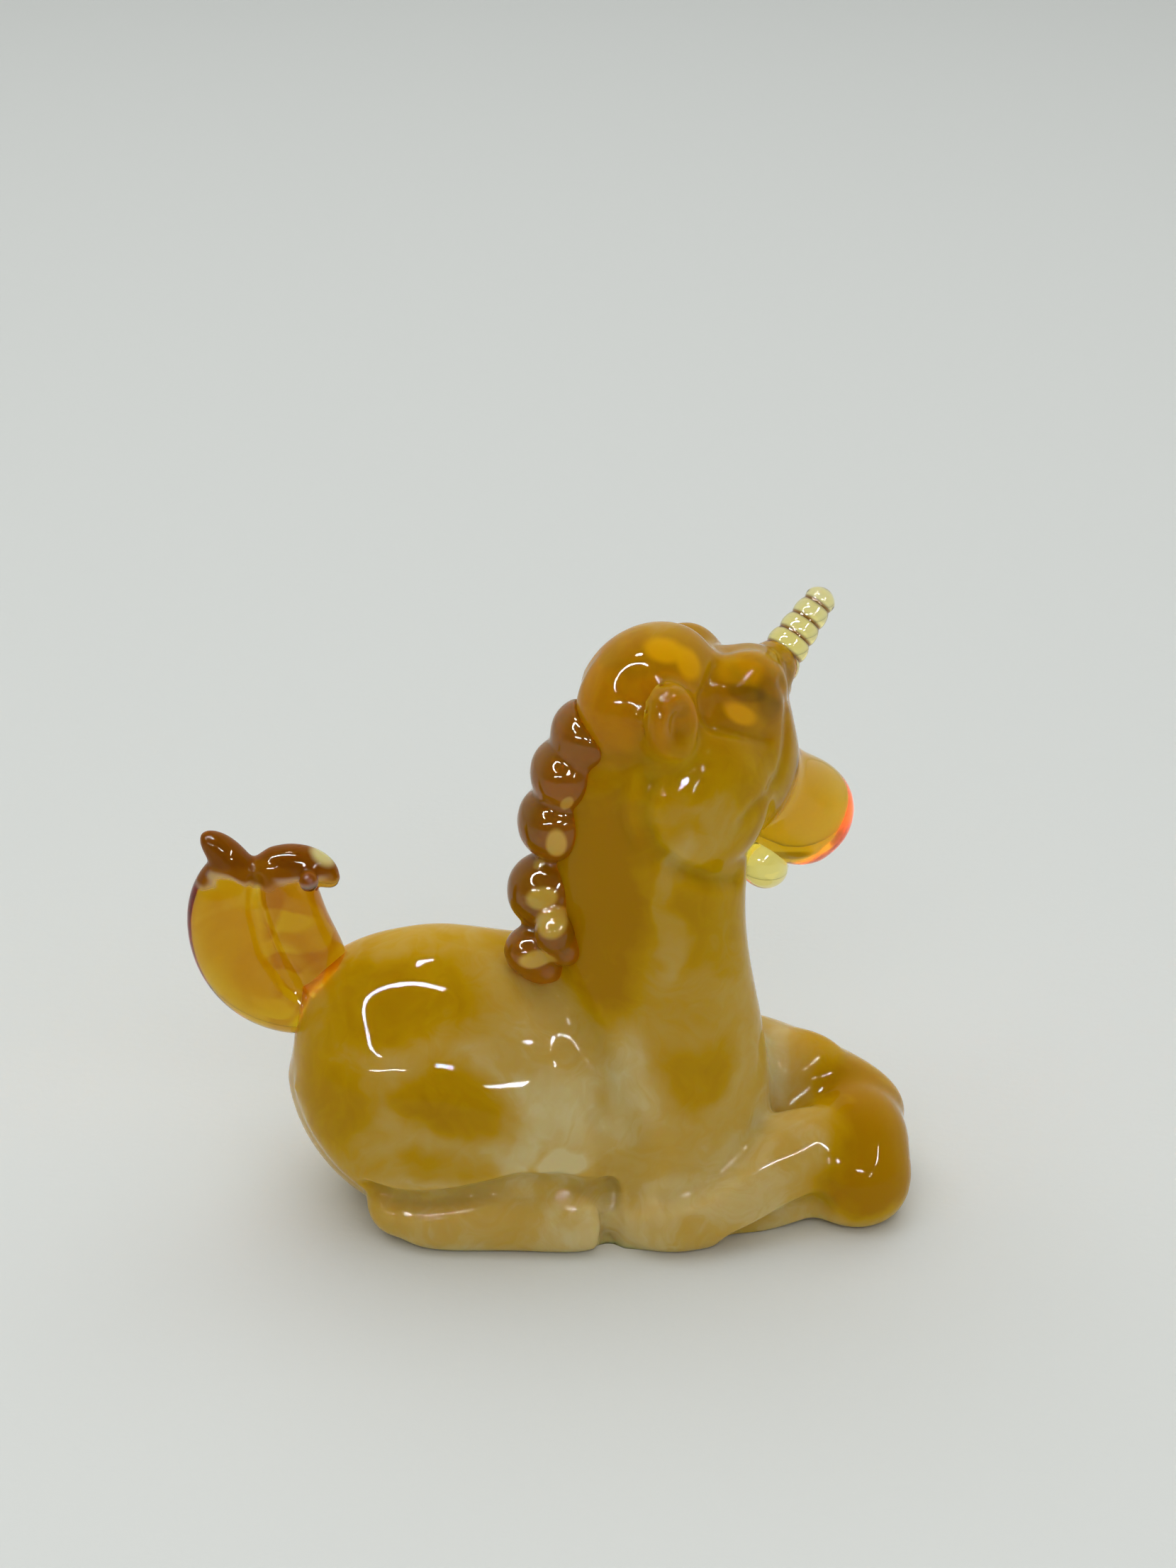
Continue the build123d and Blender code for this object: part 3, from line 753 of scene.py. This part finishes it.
class UNICORN_OT_tail(bpy.types.Operator):
    """Draw up the tail's two locks and their curls"""

    bl_idname = "unicorn.tail"
    bl_label = "Draw the tail"

    def execute(self, context):
        clear = context.scene.unicorn_clear
        bm = bmesh.new()
        for node in TAIL_NODES:
            gather(bm, node, TAIL_SWELL * MM)
        knob(bm, *TAIL_BEAD)
        knob(bm, *TAIL_FOOT)
        bm = fused("tail", bm, TAIL_GRAIN)
        soften(bm, TAIL_ROUNDS)
        press(bm, TAIL_SPLIT)
        soften(bm, GROOVE_ROUNDS)
        glass = clear_glass("tail_glass", clear.tail_soak, clear.thin_bending, tail_look)
        finished("tail", bm, glass, (*TAIL_NODES, BEAD_NODE))
        return {"FINISHED"}


class UNICORN_OT_beard(bpy.types.Operator):
    """Hang the pale beard under the chin"""

    bl_idname = "unicorn.beard"
    bl_label = "Hang the beard"

    def execute(self, context):
        clear = context.scene.unicorn_clear
        bm = bmesh.new()
        gather(bm, "beard", BEARD_SWELL * MM)
        bm = fused("beard", bm, BEARD_GRAIN)
        soften(bm, BEARD_ROUNDS)
        glass = clear_glass("beard_glass", clear.horn_soak, clear.bending)
        finished("beard_glass", bm, glass, ("beard",))
        return {"FINISHED"}


class UNICORN_OT_horn(bpy.types.Operator):
    """Turn the pale horn and its bands"""

    bl_idname = "unicorn.horn"
    bl_label = "Turn the horn"

    def execute(self, context):
        axis = HORN_TIP - HORN_FOOT
        length = axis.length
        bm = bmesh.new()
        bmesh.ops.create_cone(
            bm, cap_ends=True, segments=HORN_SIDES, radius1=HORN_RADIUS, radius2=HORN_RADIUS, depth=length,
        )
        sides = [edge for edge in bm.edges if abs(edge.verts[0].co.z - edge.verts[1].co.z) > length / 2]
        bmesh.ops.subdivide_edges(bm, edges=sides, cuts=HORN_RINGS, use_grid_fill=True)
        for vertex in bm.verts:
            share = vertex.co.z / length + 0.5
            band = math.sin(math.pi * (HORN_BANDS * share))
            rounding = max(0, (share - HORN_ROUND_START) / (1 - HORN_ROUND_START))
            radius = HORN_RADIUS + (HORN_TIP_RADIUS - HORN_RADIUS) * share
            radius += HORN_FLARE * max(0, 1 - share / HORN_FLARE_END) ** 2
            radius *= 1 - HORN_GROOVE_SHARE * (1 - abs(band) ** HORN_GROOVE_POWER)
            radius *= math.sqrt(max(0, 1 - rounding ** 2))
            vertex.co.x *= radius / HORN_RADIUS
            vertex.co.y *= radius / HORN_RADIUS
        bmesh.ops.remove_doubles(bm, verts=bm.verts, dist=HORN_WELD)
        turn = axis.to_track_quat("Z", "Y").to_matrix().to_4x4()
        place = Matrix.Translation((HORN_FOOT + HORN_TIP) / 2) @ turn
        bmesh.ops.transform(bm, matrix=place, verts=bm.verts)
        clear = context.scene.unicorn_clear
        glass = clear_glass("horn_glass", clear.horn_soak, clear.bending, horn_look)
        finished("horn_glass", bm, glass, ("horn",))
        return {"FINISHED"}


class UNICORN_OT_stage(bpy.types.Operator):
    """Lay the paper, set the lights and stand the camera"""

    bl_idname = "unicorn.stage"
    bl_label = "Set the stage"

    def execute(self, context):
        studio = context.scene.unicorn_studio
        scene = context.scene
        lay_paper(studio)
        light_studio(scene, studio)
        stand_camera(scene, studio)
        return {"FINISHED"}


# How far the paper reaches each way, in metres, and how rough and shiny it is
PAPER_REACH = 3.0
PAPER_ROUGHNESS = 0.7
PAPER_SHINE = 0.1


def lay_paper(studio):
    """A wide sheet of pale paper."""
    bm = bmesh.new()
    bmesh.ops.create_grid(bm, x_segments=1, y_segments=1, size=PAPER_REACH)
    mesh = bpy.data.meshes.new("paper")
    bm.to_mesh(mesh)
    bm.free()
    material, tree, output = new_material("paper")
    place = add(tree, "TexCoord").outputs["Object"]
    skin = add(tree, "BsdfPrincipled", {
        "Base Color": (*studio.paper, 1),
        "Roughness": PAPER_ROUGHNESS,
        "Specular IOR Level": PAPER_SHINE,
        "Normal": waves(tree, place, *PAPER_WAVES),
    })
    tree.links.new(skin.outputs[0], output.inputs["Surface"])
    mesh.materials.append(material)
    paper = bpy.data.objects.new("paper", mesh)
    bpy.context.scene.collection.objects.link(paper)


def add_lamp(scene, name, place, size, radiance, turn=0.0):
    """A flat lamp that faces straight down."""
    data = bpy.data.lights.new(name, "AREA")
    data.shape = "RECTANGLE"
    data.size, data.size_y = size
    data.energy = radiance * math.pi * size[0] * size[1]
    lamp = bpy.data.objects.new(name, data)
    lamp.location = place
    lamp.rotation_euler = (0, 0, turn)
    scene.collection.objects.link(lamp)
    return lamp


# Broad lamps that light the glass but don't show on it, in metres: centre, length along X and Y, and radiance
SOFT_LAMPS = (
    ("overhead", (-0.1, 0.25, 0.95), (1.3, 1.5), 1.2),
    ("front", (0.15, -1.0, 0.8), (1.2, 0.8), 1.9),
)

# Lamps around the top of the light tent that only show on the glass, in metres: centre, and length along X
# and Y. The others stand in an arc, which shows on the haunch as a bright curve.
STRIP_RADIANCE = 200
STRIP_HEIGHT = 0.53
STRIPS = (
    ("strip_front", (-0.70, -1.07), (0.70, 0.06)),
    ("strip_right", (0.57, -0.45), (0.04, 0.50)),
    ("strip_far_right", (0.66, -1.25), (0.05, 0.40)),
    ("lamp_front", (0.12, -0.86), (0.20, 0.12)),
    ("lamp_top", (-0.09, 0.04), (0.07, 0.03)),
)
ARC_CENTRE = (-0.22, -0.42)
ARC_RADIUS = 0.33
ARC_START = math.radians(50)
ARC_END = math.radians(205)
ARC_LAMPS = 11
ARC_WIDTH = 0.032
ARC_OVERLAP = 1.03

# The way to the tent's open, darker side, the share of the room's light that comes from there, and the
# room's colour
TENT_OPENING = (0, -0.93, 0.37)
OPENING_SHARE = 0.2
ROOM_TINT = (0.97, 0.99, 0.97, 1)


def light_studio(scene, studio):
    """A pale tent with its open side to the camera, broad lamps and strip lamps around its top."""
    world = bpy.data.worlds.new("room")
    world.use_nodes = True
    tree = world.node_tree
    way = add(tree, "TexCoord").outputs["Generated"]
    facing = add(tree, "VectorMath", {0: way, 1: TENT_OPENING}, operation="DOT_PRODUCT").outputs["Value"]
    tree.nodes["Background"].inputs["Color"].default_value = ROOM_TINT
    tree.links.new(
        rising(tree, facing, -0.3, 0.4, studio.room, studio.room * OPENING_SHARE),
        tree.nodes["Background"].inputs["Strength"],
    )
    scene.world = world
    for name, place, size, radiance in SOFT_LAMPS:
        add_lamp(scene, name, place, size, radiance).visible_glossy = False
    strips = [(name, place, size, 0.0) for name, place, size in STRIPS]
    step = (ARC_END - ARC_START) / ARC_LAMPS
    for number in range(ARC_LAMPS):
        turn = ARC_START + (number + 0.5) * step
        place = (ARC_CENTRE[0] + ARC_RADIUS * math.cos(turn), ARC_CENTRE[1] + ARC_RADIUS * math.sin(turn))
        size = (ARC_WIDTH, ARC_RADIUS * step * ARC_OVERLAP)
        strips.append(("strip_arc_%d" % (number + 1), place, size, turn))
    for name, place, size, turn in strips:
        lamp = add_lamp(scene, name, (*place, STRIP_HEIGHT), size, STRIP_RADIANCE, turn)
        lamp.visible_transmission = False
        lamp.visible_diffuse = False
    scene.view_settings.view_transform = "Standard"
    scene.cycles.transmission_bounces = 16
    scene.cycles.max_bounces = 20


# The point that the camera looks at, and its sensor in millimetres
VIEW_CENTRE = Vector((3.6, 0, 50.1)) * MM
SENSOR_WIDTH = 36


def stand_camera(scene, studio):
    """The camera, at the photograph's viewing angle."""
    back = Vector((0, -math.cos(studio.camera_height_angle), math.sin(studio.camera_height_angle)))
    data = bpy.data.cameras.new("camera")
    data.lens = studio.lens
    data.sensor_width = SENSOR_WIDTH
    data.clip_start = 10 * MM
    camera = bpy.data.objects.new("camera", data)
    camera.location = VIEW_CENTRE + back * studio.camera_distance
    camera.rotation_mode = "QUATERNION"
    camera.rotation_quaternion = (-back).to_track_quat("-Z", "Y")
    scene.collection.objects.link(camera)
    scene.camera = camera


class UNICORN_PT_panel(bpy.types.Panel):
    """Everything the figurine is made of, in the order it is made"""

    bl_label = "Glass Unicorn"
    bl_idname = "UNICORN_PT_panel"
    bl_space_type = "VIEW_3D"
    bl_region_type = "UI"
    bl_category = "Glass Unicorn"

    def draw(self, context):
        for settings in (
            context.scene.unicorn_casting, context.scene.unicorn_clear, context.scene.unicorn_studio,
        ):
            box = self.layout.box()
            for name in settings.__annotations__:
                box.prop(settings, name)
        for operator in OPERATORS:
            self.layout.operator(operator.bl_idname)


SETTINGS = (
    ("unicorn_casting", CastingSettings),
    ("unicorn_clear", ClearSettings),
    ("unicorn_studio", StudioSettings),
)
OPERATORS = (
    UNICORN_OT_casting,
    UNICORN_OT_mane,
    UNICORN_OT_tail,
    UNICORN_OT_beard,
    UNICORN_OT_horn,
    UNICORN_OT_stage,
)


def register():
    for name, group in SETTINGS:
        bpy.utils.register_class(group)
        setattr(bpy.types.Scene, name, PointerProperty(type=group))
    for operator in OPERATORS:
        bpy.utils.register_class(operator)
    bpy.utils.register_class(UNICORN_PT_panel)


def unregister():
    bpy.utils.unregister_class(UNICORN_PT_panel)
    for operator in reversed(OPERATORS):
        bpy.utils.unregister_class(operator)
    for name, group in reversed(SETTINGS):
        delattr(bpy.types.Scene, name)
        bpy.utils.unregister_class(group)


def main():
    register()
    bpy.ops.unicorn.casting()
    bpy.ops.unicorn.mane()
    bpy.ops.unicorn.tail()
    bpy.ops.unicorn.beard()
    bpy.ops.unicorn.horn()
    bpy.ops.unicorn.stage()


if __name__ == "__main__":
    main()
